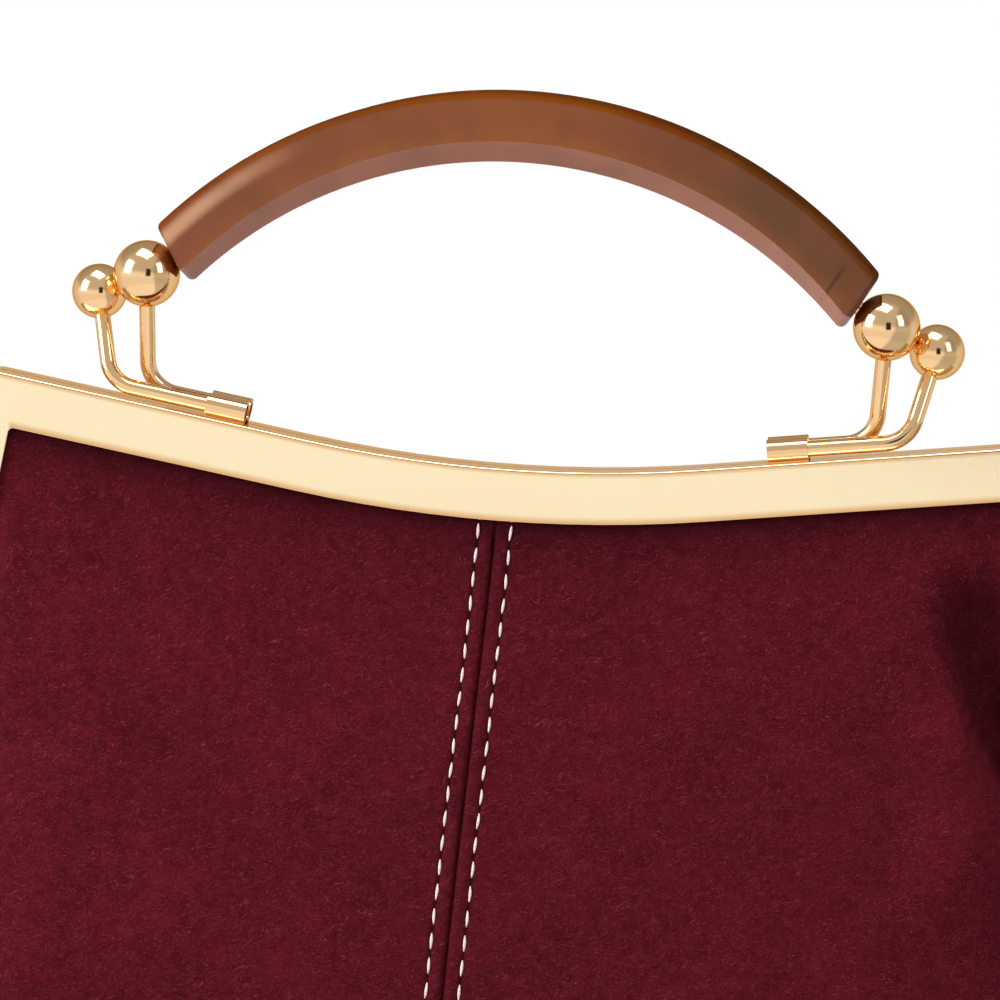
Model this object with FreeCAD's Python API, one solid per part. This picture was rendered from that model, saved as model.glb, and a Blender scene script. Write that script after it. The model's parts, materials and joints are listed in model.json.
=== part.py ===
import FreeCAD, Part
import math
import os
from FreeCAD import Vector

# Frame purse with a kiss lock and an arched handle, in millimetres.
# X runs along the frame, Y from front to back, Z up; it stands on Z = 0.

# Half frames: U channels of bent sheet, one in front of the parting plane and one behind
frame_half_width = 103.5   # clear half width at the top of the legs
face_height = 11.0         # visible face of rail and legs
inner_wall_height = 8.0    # wall of the channel towards the inside of the bag
channel_depth = 6.0
sheet = 0.8
parting = 0.2              # each half to the parting plane
rail_bottom_z = 165.5      # lower edge of the rail at its middle
dip_half_length = 42.8     # half of the curved middle of the rail
arm_slope = 8.2            # degrees, straight ends of the rail
leg_splay = 8.2            # degrees, legs from upright
inner_corner_radius = 1.0
corner_growth = 0.45       # of that radius, for each millimetre outwards
edge_rounding = 0.5        # outer edge of the face
lip_rounding = 0.35        # inner edge of the face, beside the suede

# Frame hinges, one beside each end of the legs
hinge_z = 127.0
leg_clearance = 8.0        # end of a leg above the hinge axis
lug_radius = 5.0
lug_thickness = 1.2
lug_gap = 0.3              # between the two lugs of a hinge
lug_overlap = 8.0          # length of a lug inside its leg
lug_side_gap = 0.6         # lug to the parting plane inside its leg
rivet_radius = 1.5
rivet_head_radius = 2.8
rivet_head_height = 1.1
running_clearance = 0.06   # rivet in the front lug
seat_clearance = 0.03      # pieces pressed into each other

# Clasp: two L shaped rods a side, each held in a rolled sleeve on its own rail
rod_radius = 1.65
rod_bend_radius = 7.0
sleeve_x = 58.5            # middle of a sleeve
sleeve_length = 8.4
sleeve_wall = 0.75
sleeve_rise = 2.5          # rod axis above the rail
sleeve_leaf = 1.8          # both leaves of the sleeve together
sleeve_slit = 0.4
rod_recess = 0.8           # rod end inside the sleeve's inner end
front_elbow_x = 83.2
rear_elbow_x = 76.2
clasp_ball_radius = 5.75
clasp_ball_x = 87.6
clasp_ball_z = 206.5
handle_ball_radius = 6.95
handle_ball_x = 77.0
handle_ball_z = 211.3
ball_gap = 0.3             # between the two balls of a pair
rod_in_ball = 4.0

# Handle: one arch of clear resin, bevelled underneath, on a stud at each end
handle_apex_z = 254.5
handle_radius = 101.8
handle_face = 10.3         # height of the upright faces
handle_depth = 12.0
keel_drop = 4.4            # keel below the lower edge of the faces at the middle
handle_rounding = 1.5
handle_end_tilt = 30.4     # degrees, end face from upright
handle_gap = 0.15          # ball to end face
stud_radius = 1.5
stud_in_handle = 12.0
stud_in_ball = 3.5

# Soft body
suede = 1.4
lining = 0.5
layer_gap = 0.2            # between suede, board and lining
board = 1.5
fold_gap = 0.3             # front panels to their upper parts, at the fold
channel_gap = 0.1          # panel to the front wall of its channel
tuck_gap = 1.0             # panel edge to the back of its channel
channel_cord_radius = 0.85
side_tuck = 6.5            # panel edge beyond the inner edge of a leg
fold_side = 2.5            # the same at the fold, beside the hinge
fold_half_depth = 17.0
waist_z = 100.0
waist_half_width = 118.8
waist_half_depth = 27.0
belly_z = 60.0
belly_half_width = 127.0
belly_half_depth = 38.5
foot_z = 24.0
foot_half_width = 130.0
foot_half_depth = 44.0
base_half_width = 125.0
base_half_depth = 40.0
corner_length = 31.0       # rounded end of the lower sections, along X
corner_depth = 0.87        # share of the depth where that rounding starts
side_depth = 0.35          # share of the depth that is upright at the side
front_fullness = 0.75      # share of the front that is nearly flat

slope = math.radians(arm_slope)
splay = math.radians(leg_splay)
dip_radius = dip_half_length / math.sin(slope)
dip_centre_z = rail_bottom_z + dip_radius
leg_end_z = hinge_z + leg_clearance
channel_front = parting + channel_depth
channel_middle = parting + channel_depth / 2
panel_face = channel_front - sheet - channel_gap
panel_back = panel_face - suede
lining_face = panel_back - layer_gap
lining_back = lining_face - lining
handle_centre_z = handle_apex_z - handle_radius
underside_radius = handle_radius - handle_face
far = 400.0                # beyond every piece
same_place = 0.01          # points this close are one

X = Vector(1, 0, 0)
Y = Vector(0, 1, 0)
Z = Vector(0, 0, 1)
origin = Vector(0, 0, 0)
along_rail = Vector(math.cos(slope), 0, math.sin(slope))
above_rail = Vector(-math.sin(slope), 0, math.cos(slope))


def save(name, shape):
    solid = shape.Solids[0] if len(shape.Solids) == 1 else shape
    print(name, "solids", len(shape.Solids), "valid", shape.isValid(), "mm3", round(shape.Volume, 1))
    solid.exportStep("parts/" + name + ".step")


def mirrored(shape, axis):
    return shape.mirror(origin, axis)


def save_pair(name, shape):
    save(name + "_right", shape)
    save(name + "_left", mirrored(shape, X))


def block(x0, x1, y0, y1, z0, z1):
    return Part.makeBox(x1 - x0, y1 - y0, z1 - z0, Vector(x0, y0, z0))


def clean(shape):
    return shape.removeSplitter()


# Outline of the frame, as far outside the clear opening as offset says
def rail_point(x, offset):
    if abs(x) <= (dip_radius - offset) * math.sin(slope):
        radius = dip_radius - offset
        return Vector(x, 0, dip_centre_z - math.sqrt(radius * radius - x * x))
    start = (dip_radius - offset) * math.sin(slope)
    start_z = dip_centre_z - (dip_radius - offset) * math.cos(slope)
    return Vector(x, 0, start_z + (abs(x) - start) * math.tan(slope))


inner_corner = rail_point(frame_half_width, 0)


def leg_x(offset, z):
    return inner_corner.x + (offset - (z - inner_corner.z) * math.sin(splay)) / math.cos(splay)


def tangent_arc(before, corner, after, radius):
    to_before = (before - corner).normalize()
    to_after = (after - corner).normalize()
    half = to_before.getAngle(to_after) / 2
    reach = radius / math.tan(half)
    middle = corner + (to_before + to_after).normalize() * (radius / math.sin(half) - radius)
    return corner + to_before * reach, middle, corner + to_after * reach


def frame_outline(offset, end_z):
    past_corner = offset * (1 - math.sin(splay - slope)) / math.cos(splay - slope)
    corner = inner_corner + above_rail * offset + along_rail * past_corner
    dip_end = rail_point((dip_radius - offset) * math.sin(slope), offset)
    dip_start = Vector(-dip_end.x, 0, dip_end.z)
    leg_end = Vector(leg_x(offset, end_z), 0, end_z)
    radius = inner_corner_radius + corner_growth * offset
    arm_end, middle, leg_top = tangent_arc(dip_end, corner, leg_end, radius)
    right = [
        Part.makeLine(dip_end, arm_end),
        Part.Arc(arm_end, middle, leg_top).toShape(),
        Part.makeLine(leg_top, leg_end),
    ]
    left = [mirrored(edge, X) for edge in right]
    dip = Part.Arc(dip_start, rail_point(0, offset), dip_end).toShape()
    return left[::-1] + [dip] + right


def frame_region(offset, y0, y1, end_z):
    side = leg_x(offset, end_z)
    closing = Part.makeLine(Vector(-side, 0, end_z), Vector(side, 0, end_z))
    wire = Part.Wire(Part.__sortEdges__(frame_outline(offset, end_z) + [closing]))
    region = Part.Face(wire).extrude(Y * (y1 - y0))
    region.translate(Y * y0)
    return region


lug_outer_x = leg_x(face_height - sheet, leg_end_z)
lug_middle_x = lug_outer_x - lug_thickness
front_lug_x = lug_middle_x - lug_gap - lug_thickness


# The part of a lug inside its leg leans with the leg
def leg_insert(x0, x1):
    inner = Vector(x0, lug_side_gap, leg_end_z)
    outer = Vector(x1, lug_side_gap, leg_end_z)
    up = Vector(-math.tan(splay), 0, 1) * lug_overlap
    outline = Part.makePolygon([inner, outer, outer + up, inner + up, inner])
    return Part.Face(outline).extrude(Y * (lug_radius - lug_side_gap))


def lug(x0, x1, hole_radius):
    plate = Part.makeCylinder(lug_radius, x1 - x0, Vector(x0, 0, hinge_z), X)
    strip = block(x0, x1, lug_side_gap, lug_radius, hinge_z, leg_end_z)
    hole = Part.makeCylinder(hole_radius, x1 - x0, Vector(x0, 0, hinge_z), X)
    return plate.fuse([strip, leg_insert(x0, x1)]).cut(hole)


# Rounds the edges of the visible face that follow the outline at this offset
def round_face_edge(channel, offset, radius):
    outline = Part.Compound(frame_outline(offset, leg_end_z))
    outline.translate(Y * channel_front)
    edges = []
    for edge in channel.Edges:
        middle = edge.valueAt((edge.FirstParameter + edge.LastParameter) / 2)
        if outline.distToShape(Part.Vertex(middle))[0] < same_place:
            edges.append(edge)
    return channel.makeFillet(radius, edges)


# Built behind the parting plane; the front half is the same piece turned round
def half_frame(end_pieces):
    wall = sheet + parting
    channel = frame_region(face_height, parting, channel_front, leg_end_z)
    channel = channel.cut(frame_region(0, 0, far, leg_end_z))
    channel = channel.cut(frame_region(face_height - sheet, wall, channel_front - sheet, leg_end_z))
    channel = channel.cut(frame_region(face_height - inner_wall_height, 0, wall, leg_end_z))
    channel = round_face_edge(channel, face_height, edge_rounding)
    channel = round_face_edge(channel, 0, lip_rounding)
    for piece in end_pieces:
        channel = channel.fuse([piece, mirrored(piece, X)])
    return clean(channel)


rear_lug = lug(lug_middle_x, lug_outer_x, rivet_radius + seat_clearance)
front_lug = lug(front_lug_x, front_lug_x + lug_thickness, rivet_radius + running_clearance)
joggle = leg_insert(front_lug_x, lug_outer_x)
save("rear_frame", half_frame([rear_lug]))
save("front_frame", mirrored(half_frame([front_lug, joggle]), Y))


def hinge_rivet():
    inner_x = front_lug_x
    shank = Part.makeCylinder(rivet_radius, lug_outer_x - inner_x, Vector(inner_x, 0, hinge_z), X)
    tail = Part.makeCylinder(rivet_head_radius, rivet_head_height, Vector(inner_x, 0, hinge_z), X * -1)
    dome_radius = (rivet_head_radius ** 2 + rivet_head_height ** 2) / (2 * rivet_head_height)
    dome_centre = Vector(lug_outer_x + rivet_head_height - dome_radius, 0, hinge_z)
    head = Part.makeSphere(dome_radius, dome_centre)
    head = head.common(block(lug_outer_x, lug_outer_x + far, -far, far, 0, far))
    return clean(shank.fuse([tail, head]))


save_pair("hinge_rivet", hinge_rivet())


# Clasp pieces are built on the right; front ones carry the clasp balls, rear ones the handle
def rod_axis_point(x):
    foot = rail_point(sleeve_x, face_height) + above_rail * sleeve_rise
    return foot + along_rail * ((x - foot.x) / math.cos(slope))


def bent_rod(start, corner, end):
    entry, middle, leave = tangent_arc(start, corner, end, rod_bend_radius)
    path = Part.Wire([
        Part.makeLine(start, entry),
        Part.Arc(entry, middle, leave).toShape(),
        Part.makeLine(leave, end),
    ])
    section = Part.Wire([Part.makeCircle(rod_radius, start, entry - start)])
    return path.makePipeShell([section], True, False)


def drilled_ball(centre, radius, bores):
    ball = Part.makeSphere(radius, centre)
    for towards, bore_radius, depth in bores:
        direction = (towards - centre).normalize()
        bottom = centre + direction * (radius - depth)
        ball = ball.cut(Part.makeCylinder(bore_radius, depth * 2, bottom, direction))
    return ball


def sleeve(y):
    outer = rod_radius + seat_clearance + sleeve_wall
    bore = rod_radius + seat_clearance
    start = rod_axis_point(sleeve_x) - along_rail * (sleeve_length / 2)
    start.y = y
    tube = Part.makeCylinder(outer, sleeve_length, start, along_rail)
    leaf = Part.makeBox(sleeve_length, sleeve_leaf, sleeve_rise)
    leaf.translate(Vector(0, -sleeve_leaf / 2, -sleeve_rise))
    slit = Part.makeBox(sleeve_length, sleeve_slit, sleeve_rise)
    slit.translate(Vector(0, -sleeve_slit / 2, -sleeve_rise))
    for piece in (leaf, slit):
        piece.rotate(origin, Y, -arm_slope)
        piece.translate(start)
    hole = Part.makeCylinder(bore, sleeve_length, start, along_rail)
    return clean(tube.fuse(leaf).cut(hole).cut(slit))


reach_squared = (clasp_ball_radius + handle_ball_radius + ball_gap) ** 2
reach_squared -= (clasp_ball_x - handle_ball_x) ** 2 + (clasp_ball_z - handle_ball_z) ** 2
ball_offset = math.sqrt(reach_squared) / 2
clasp_ball = Vector(clasp_ball_x, ball_offset, clasp_ball_z)
handle_ball = Vector(handle_ball_x, -ball_offset, handle_ball_z)
end_normal = Vector(math.cos(math.radians(handle_end_tilt)), 0, -math.sin(math.radians(handle_end_tilt)))
end_along = Vector(-end_normal.z, 0, end_normal.x)
end_foot = handle_ball - end_normal * (handle_ball_radius + handle_gap)


def arm(elbow_x, y, ball, ball_radius):
    start = rod_axis_point(sleeve_x) + along_rail * (rod_recess - sleeve_length / 2)
    start.y = y
    corner = rod_axis_point(elbow_x)
    corner.y = y
    upright = (ball - corner).normalize()
    return corner, bent_rod(start, corner, ball - upright * (ball_radius - rod_in_ball))


rod_bore = rod_radius + seat_clearance
front_corner, front_arm = arm(front_elbow_x, -channel_middle, clasp_ball, clasp_ball_radius)
rear_corner, rear_arm = arm(rear_elbow_x, channel_middle, handle_ball, handle_ball_radius)
save_pair("front_arm", front_arm)
save_pair("rear_arm", rear_arm)
save_pair("front_sleeve", sleeve(-channel_middle))
save_pair("rear_sleeve", sleeve(channel_middle))
save_pair("clasp_ball", drilled_ball(clasp_ball, clasp_ball_radius, [(front_corner, rod_bore, rod_in_ball)]))
save_pair("handle_ball", drilled_ball(handle_ball, handle_ball_radius, [
    (rear_corner, rod_bore, rod_in_ball),
    (end_foot, stud_radius + seat_clearance, stud_in_ball),
]))


# The end face cuts the handle's top and keel at the same straight line
def on_end_face(radius, centre_z):
    foot = Vector(end_foot.x, 0, end_foot.z - centre_z)
    half_b = foot.dot(end_along)
    distance = -half_b + math.sqrt(half_b * half_b - foot.dot(foot) + radius * radius)
    return Vector(end_foot.x, 0, end_foot.z) + end_along * distance


def handle_arch():
    front = Y * (handle_ball.y - handle_depth / 2)
    keel_centre_z = handle_centre_z - keel_drop
    top = on_end_face(handle_radius, handle_centre_z)
    bottom = on_end_face(underside_radius, keel_centre_z)
    top_left = Vector(-top.x, 0, top.z)
    bottom_left = Vector(-bottom.x, 0, bottom.z)
    keel = Z * (keel_centre_z + underside_radius)
    wire = Part.Wire([
        Part.Arc(top_left, Z * handle_apex_z, top).toShape(),
        Part.makeLine(top, bottom),
        Part.Arc(bottom, keel, bottom_left).toShape(),
        Part.makeLine(bottom_left, top_left),
    ])
    wire.translate(front)
    arch = Part.Face(wire).extrude(Y * handle_depth)
    for side in (1, -1):
        middle_y = handle_ball.y - side * handle_depth / 2
        rim = Part.makeCircle(underside_radius, Vector(0, middle_y, handle_centre_z), Y)
        bevel = Part.Face(Part.Wire([rim])).extrude(Vector(0, side * handle_depth / 2, -keel_drop))
        arch = arch.cut(bevel)
    soft = []
    for edge in arch.Edges:
        middle = edge.valueAt((edge.FirstParameter + edge.LastParameter) / 2)
        from_centre = math.hypot(middle.x, middle.z - handle_centre_z)
        to_end_face = (Vector(abs(middle.x), 0, middle.z) - end_foot).dot(end_normal)
        if from_centre > handle_radius - same_place or abs(to_end_face) < same_place:
            soft.append(edge)
    arch = arch.makeFillet(handle_rounding, soft)
    bore = Part.makeCylinder(stud_radius + seat_clearance, far, end_foot - end_normal * stud_in_handle, end_normal)
    return arch.cut([bore, mirrored(bore, X)])


def handle_stud():
    length = stud_in_handle + handle_gap + stud_in_ball
    return Part.makeCylinder(stud_radius, length, end_foot - end_normal * stud_in_handle, end_normal)


save("handle", handle_arch())
save_pair("handle_stud", handle_stud())


# Horizontal sections of the soft body: upright side, rounded end, swelling front and back
def bezier(points):
    curve = Part.BezierCurve()
    curve.setPoles(points)
    return curve.toShape()


# Height of the front curve's poles above the shoulder, for that half depth at its middle
def swell(half_depth, shoulder):
    return (half_depth - shoulder) * 4 / 3


def section(z, half_width, side, bend, corner, shoulder, half_depth, inset):
    a = half_width - inset
    s = side - inset
    e = bend - inset
    c = corner - inset
    d = shoulder - inset
    crown = d + swell(half_depth, shoulder)
    flat = c * front_fullness
    front = [
        bezier([Vector(a, -s, z), Vector(a, -e, z), Vector(c, -d, z)]),
        bezier([Vector(c, -d, z), Vector(flat, -crown, z), Vector(-flat, -crown, z), Vector(-c, -d, z)]),
        bezier([Vector(-c, -d, z), Vector(-a, -e, z), Vector(-a, -s, z)]),
        Part.makeLine(Vector(-a, -s, z), Vector(-a, s, z)),
    ]
    back = [edge.copy() for edge in front]
    for edge in back:
        edge.rotate(origin, Z, 180)
    return Part.Wire(Part.__sortEdges__(front + back))


def fold_section(z, inset):
    side = panel_face - suede / 2
    corner = leg_x(0, z) - channel_gap
    return section(z, leg_x(0, z) + fold_side, side, panel_face, corner, panel_face, fold_half_depth, inset)


def tuck_section(z, inset):
    side = panel_face - suede / 2
    corner = leg_x(0, z) - channel_gap
    flat = panel_face + channel_gap / 2
    return section(z, leg_x(0, z) + side_tuck, side, panel_face, corner, panel_face, flat, inset)


def lower_section(z, half_width, half_depth, inset):
    corner = half_width - corner_length
    shoulder = half_depth * corner_depth
    slope_at_corner = swell(half_depth, shoulder) / (corner * (1 - front_fullness))
    bend = shoulder - slope_at_corner * corner_length
    return section(z, half_width, half_depth * side_depth, bend, corner, shoulder, half_depth, inset)


def lower_body(inset, bottom_z):
    return Part.makeLoft([
        lower_section(0, base_half_width, base_half_depth, inset),
        lower_section(foot_z, foot_half_width, foot_half_depth, inset),
        lower_section(belly_z, belly_half_width, belly_half_depth, inset),
        lower_section(waist_z, waist_half_width, waist_half_depth, inset),
        fold_section(hinge_z, inset),
    ], True, False).common(block(-far, far, -far, far, bottom_z, hinge_z))


def upper_body(inset, edge_offset):
    top_z = handle_apex_z
    body = Part.makeLoft([
        fold_section(hinge_z, inset),
        tuck_section(rail_bottom_z, inset),
        tuck_section(top_z, inset),
    ], True, True)
    return body.common(frame_region(edge_offset, -far, far, hinge_z))


tuck = face_height - sheet - tuck_gap
lower_shell = lower_body(0, 0).cut(lower_body(suede, 0))
upper_shell = upper_body(0, tuck).cut(upper_body(suede, face_height))
right_half = block(0, far, -far, far, -far, far)
behind = block(-far, far, 0, far, -far, far)
in_rear_channel = block(-far, far, panel_back, far, -far, far)
above_fold = block(-far, far, -far, -panel_back, hinge_z + fold_gap, far)

whole_back = clean(lower_shell.common(behind).fuse(upper_shell.common(in_rear_channel)))
save_pair("back_panel", clean(whole_back.common(right_half)))
save_pair("front_panel", clean(lower_shell.cut(behind).common(right_half)))
save_pair("front_panel_top", clean(upper_shell.common(above_fold).common(right_half)))


def base_plate(inset, bottom_z, thickness):
    plate = Part.Face(lower_section(bottom_z, base_half_width, base_half_depth, inset))
    return plate.extrude(Z * thickness)


board_bottom = suede + layer_gap
lining_bottom = board_bottom + board + layer_gap
save("base_panel", base_plate(suede + layer_gap, 0, suede))
save("base_board", base_plate(suede + layer_gap, board_bottom, board))

lining_inset = suede + layer_gap
inside_inset = lining_inset + lining
lining_edge = tuck - tuck_gap
lower_lining = lower_body(lining_inset, lining_bottom).cut(lower_body(inside_inset, lining_bottom + lining))
upper_lining = upper_body(lining_inset, lining_edge).cut(upper_body(inside_inset, face_height))
back_of_lining = block(-far, far, lining_back, far, -far, far)
front_of_lining = block(-far, far, -far, -lining_back, hinge_z + fold_gap, far)
save("lining_body", clean(lower_lining.fuse(upper_lining.common(back_of_lining))))
save("front_lining_top", clean(upper_lining.common(front_of_lining)))


# Paper cord that wedges the edges of suede and lining into the channel
def channel_cord():
    offset = face_height / 2
    y = lining_back - layer_gap - channel_cord_radius
    end_z = leg_end_z + lug_overlap + tuck_gap
    path = Part.Wire(Part.__sortEdges__(frame_outline(offset, end_z)))
    path.translate(Y * y)
    start = Vector(-leg_x(offset, end_z), y, end_z)
    up_leg = Vector(math.sin(splay), 0, math.cos(splay))
    profile = Part.Wire([Part.makeCircle(channel_cord_radius, start, up_leg)])
    return path.makePipeShell([profile], True, False)


cord = channel_cord()
save("channel_cord_rear", cord)
save("channel_cord_front", mirrored(cord, Y))
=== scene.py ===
import json
import math

import bmesh
import bpy
import numpy as np
from mathutils import Matrix, Vector

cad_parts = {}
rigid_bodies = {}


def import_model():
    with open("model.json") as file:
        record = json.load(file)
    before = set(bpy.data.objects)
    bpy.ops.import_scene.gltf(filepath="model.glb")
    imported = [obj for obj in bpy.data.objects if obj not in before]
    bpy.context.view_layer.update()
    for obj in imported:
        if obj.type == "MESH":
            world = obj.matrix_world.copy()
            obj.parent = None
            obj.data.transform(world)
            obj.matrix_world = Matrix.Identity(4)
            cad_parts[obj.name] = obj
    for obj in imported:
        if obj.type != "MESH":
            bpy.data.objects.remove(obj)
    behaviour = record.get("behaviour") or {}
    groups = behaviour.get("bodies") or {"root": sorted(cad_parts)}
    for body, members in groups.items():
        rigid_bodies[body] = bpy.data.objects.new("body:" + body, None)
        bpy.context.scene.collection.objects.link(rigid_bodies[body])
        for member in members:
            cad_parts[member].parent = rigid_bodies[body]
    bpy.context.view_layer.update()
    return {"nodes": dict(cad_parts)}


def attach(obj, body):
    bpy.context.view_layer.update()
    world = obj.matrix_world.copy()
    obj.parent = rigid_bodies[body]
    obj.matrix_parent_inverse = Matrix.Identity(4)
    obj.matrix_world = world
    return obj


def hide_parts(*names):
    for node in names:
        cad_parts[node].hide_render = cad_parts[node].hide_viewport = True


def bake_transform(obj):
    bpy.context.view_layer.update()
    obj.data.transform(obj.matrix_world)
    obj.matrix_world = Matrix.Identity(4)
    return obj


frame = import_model()
mm = 0.001  # the sizes in the dictionaries are millimetres, and metres for the stage
scene = bpy.context.scene
nodes = frame["nodes"]


# Small helpers for materials and meshes

def linear(hexColour):
    rgb = [int(hexColour[i:i + 2], 16) / 255 for i in (1, 3, 5)]
    return [c / 12.92 if c <= 0.04045 else ((c + 0.055) / 1.055) ** 2.4 for c in rgb] + [1.0]


def perMetre(sizeMm):  # texture scale that makes marks of this many millimetres
    return 1 / (sizeMm * mm)


def fillInputs(tree, node, inputs):  # with values, sockets to link to, or nodes for their first sockets
    for socket, value in inputs.items():
        if isinstance(value, bpy.types.Node):
            value = value.outputs[0]
        if isinstance(value, bpy.types.NodeSocket):
            tree.links.new(value, node.inputs[socket])
        else:
            node.inputs[socket].default_value = value


def addNode(tree, kind, inputs=None, **settings):
    node = tree.nodes.new(kind)
    for name, value in settings.items():
        setattr(node, name, value)
    fillInputs(tree, node, inputs or {})
    return node


def newMaterial(name, values):
    material = bpy.data.materials.new(name)
    material.use_nodes = True
    tree = material.node_tree
    surface = tree.nodes["Principled BSDF"]
    fillInputs(tree, surface, values)
    return material, tree, surface, addNode(tree, "ShaderNodeTexCoord").outputs


mixColours = {"data_type": "RGBA"}  # a Mix node's colour sockets are 6 and 7, and its colour comes out at 2
smoothRamp = {"interpolation_type": "SMOOTHSTEP"}


# The rails dip in an arc at their middle and rise straight to both ends
rail = {"middle": 165.5, "dipHalfLength": 42.8, "tilt": 8.2, "face": 11.0, "faceFront": 6.2, "inside": 103.0}


# Brass sheet, rod and balls, polished and plated pale gold: a near mirror with a faint cloudiness from the
# polishing wheel and a warmer tone where the plate is thin.
goldPlate = {
    "rods": ("#FCD4A0", "#F8CA92"),    # full and thin plate
    "sheet": ("#FFEDC6", "#FFE8BE"),
    "rim": "#E8BC80",
    "bend": "#DFA35C",      # painted reflection along a rail face's two rounded edges, in a deeper gold
    "bendReach": ((1.9, 0.2), (1.4, 0.3)),  # from none to full, from the lower and the upper edge
    "bendFoot": 0.6,        # it fades out over this below the lower edge
    "bendEnds": 1.0,        # and over this past the rail's ends
    "bendFace": (0.08, 0.02),  # none and full, behind the face's front
    "bendShare": 0.8,
    "cloud": 11.0,
    "wheelMark": 0.35,
    "wheelContrast": (0.3, 0.7),
    "roughness": (0.09, 0.13),
    "ripple": 6.0,
    "rippleHeight": 0.0025,
}


def alongEdgeReflections(tree, place):  # share of the painted edge reflection, at the edges of a rail's face only
    tilt, half = math.radians(rail["tilt"]), rail["dipHalfLength"]
    radius = half / math.sin(tilt)
    face, front, inside = (rail[key] for key in ("face", "faceFront", "inside"))
    (low, lowFull), (high, highFull) = goldPlate["bendReach"]
    behind, flush = goldPlate["bendFace"]
    where = addNode(tree, "ShaderNodeVectorMath", {0: place["Object"], "Scale": 1 / mm}, operation="SCALE")
    made = dict(addNode(tree, "ShaderNodeSeparateXYZ", {"Vector": where}).outputs.items())
    for name, operation, *operands in (
            ("out", "ABSOLUTE", "X"), ("deep", "ABSOLUTE", "Y"),
            ("inDip", "MINIMUM", "out", half), ("square", "MULTIPLY", "inDip", "inDip"),
            ("rest", "SUBTRACT", radius ** 2, "square"), ("drop", "SQRT", "rest"),
            ("past", "SUBTRACT", "out", "inDip"), ("rise", "MULTIPLY", "past", math.tan(tilt)),
            ("over", "ADD", "Z", "drop"), ("above", "SUBTRACT", "over", "rise"),
            ("height", "SUBTRACT", "above", rail["middle"] + radius),
            ("lower", "RAMP", "height", low, lowFull),
            ("upper", "RAMP", "height", face - high, face - highFull),
            ("onRail", "RAMP", "height", -goldPlate["bendFoot"], 0.0),
            ("between", "RAMP", "out", inside + goldPlate["bendEnds"], inside),
            ("onFace", "RAMP", "deep", front - behind, front - flush),
            ("lower", "MULTIPLY", "lower", "onRail"), ("lower", "MULTIPLY", "lower", "between"),
            ("both", "MAXIMUM", "lower", "upper"), ("both", "MULTIPLY", "both", "onFace"),
            ("both", "MULTIPLY", "both", goldPlate["bendShare"])):
        inputs = {i: made.get(v, v) for i, v in enumerate(operands)}
        if operation == "RAMP":
            made[name] = addNode(tree, "ShaderNodeMapRange", inputs, **smoothRamp)
        else:
            made[name] = addNode(tree, "ShaderNodeMath", inputs, operation=operation)
    return made["both"]


def makeGold(name, full, thin, withEdgeReflection=False):
    spec = goldPlate
    gold, tree, surface, place = newMaterial(name, {"Metallic": 1.0, "Specular Tint": linear(spec["rim"])})
    cloud = addNode(tree, "ShaderNodeTexNoise", {
        "Vector": place["Object"], "Scale": perMetre(spec["cloud"]), "Detail": 3.0})
    tone = addNode(tree, "ShaderNodeMix", {0: cloud, 6: linear(full), 7: linear(thin)}, **mixColours)
    wheel = addNode(tree, "ShaderNodeTexNoise", {
        "Vector": place["Object"], "Scale": perMetre(spec["wheelMark"]), "Detail": 2.0})
    haze = addNode(tree, "ShaderNodeMapRange", {
        "Value": wheel, **dict(enumerate(spec["wheelContrast"] + spec["roughness"], 1))})
    ripple = addNode(tree, "ShaderNodeTexNoise", {
        "Vector": place["Object"], "Scale": perMetre(spec["ripple"]), "Detail": 1.0})
    bump = addNode(tree, "ShaderNodeBump", {
        "Height": ripple, "Strength": 1.0, "Distance": spec["rippleHeight"] * mm})
    # painted reflection: a deeper gold along the rounded edges of the rail's face
    if withEdgeReflection:
        tone = addNode(tree, "ShaderNodeMix", {
            0: alongEdgeReflections(tree, place), 6: tone.outputs[2], 7: linear(spec["bend"])}, **mixColours)
    fillInputs(tree, surface, {"Base Color": tone.outputs[2], "Roughness": haze, "Normal": bump})
    return gold


# Cast resin, sanded and polished: translucent brown, with a painted orange glow where light would enter at
# the lower edge and none where it is thick, under a glossy skin that the hand has worn off at the top.
castResin = {
    # painted light and shade: the brown is lighter towards the left end and darker towards the right
    "tones": ((-76.0, "#86431E"), (-60.0, "#80421A"), (-44.0, "#7C3F12"), (5.0, "#84420A"),
              (30.0, "#7A3B0A"), (50.0, "#6A3A12"), (74.0, "#703E1A")),
    # painted glow: orange along the lower edge of the face, where light would enter
    "paintedGlow": "#94500E",
    # painted reflection: the pale table mirrored in the bevel below the face, by which way it faces
    "bevelReflection": "#A86A52",
    # painted shade along the rounded top edge and the ends
    "edge": "#4A2814",
    # painted highlight: a pale streak along the upper face near the left end, where the left lamp reflects
    "bloom": "#D09A74",
    "highlightReach": (-72.0, -42.0),
    "highlightDepth": 3.2,
    "highlightWidth": (0.3, 2.4),   # full and faded
    "archCentre": (0.0, 0.0, 152.7),
    "outerRadius": 101.8,
    "faceHeight": 10.3,
    "paintedGlowReach": 3.2,
    "paintedGlowShare": 0.4,
    "bevelFacing": (-0.3, -0.6),    # how far a surface faces the arch's centre
    "bevelReflectionShare": 0.7,
    "rim": (0.9, 0.2),      # painted shade: from the top, where the dark edge starts and is full
    "tip": (1.1, 0.3),      # the same from both ends
    "edgeShadeShare": 0.6,
    "worn": (2.0, 0.9),     # from the top, which the hand wears dull
    "vein": 16.0,
    "veinTone": (0.35, 0.65, 0.88, 1.12),
    "skin": 2.2,
    "skinHeight": 0.01,
    "scatter": (2.4, 1.3, 0.7),
    "roughness": 0.14,
    "endFoot": (70.9, 0.0, 214.9),
    "endNormal": (0.8625, 0.0, -0.506),
    "studReach": 7.2,
    "studMark": "#3A1C0C",
    "markWidth": (0.1, 0.6),
    "markTop": (4.5, 8.0),  # above the bevel, where the mark fades
    "markShare": 0.75,
}


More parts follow.
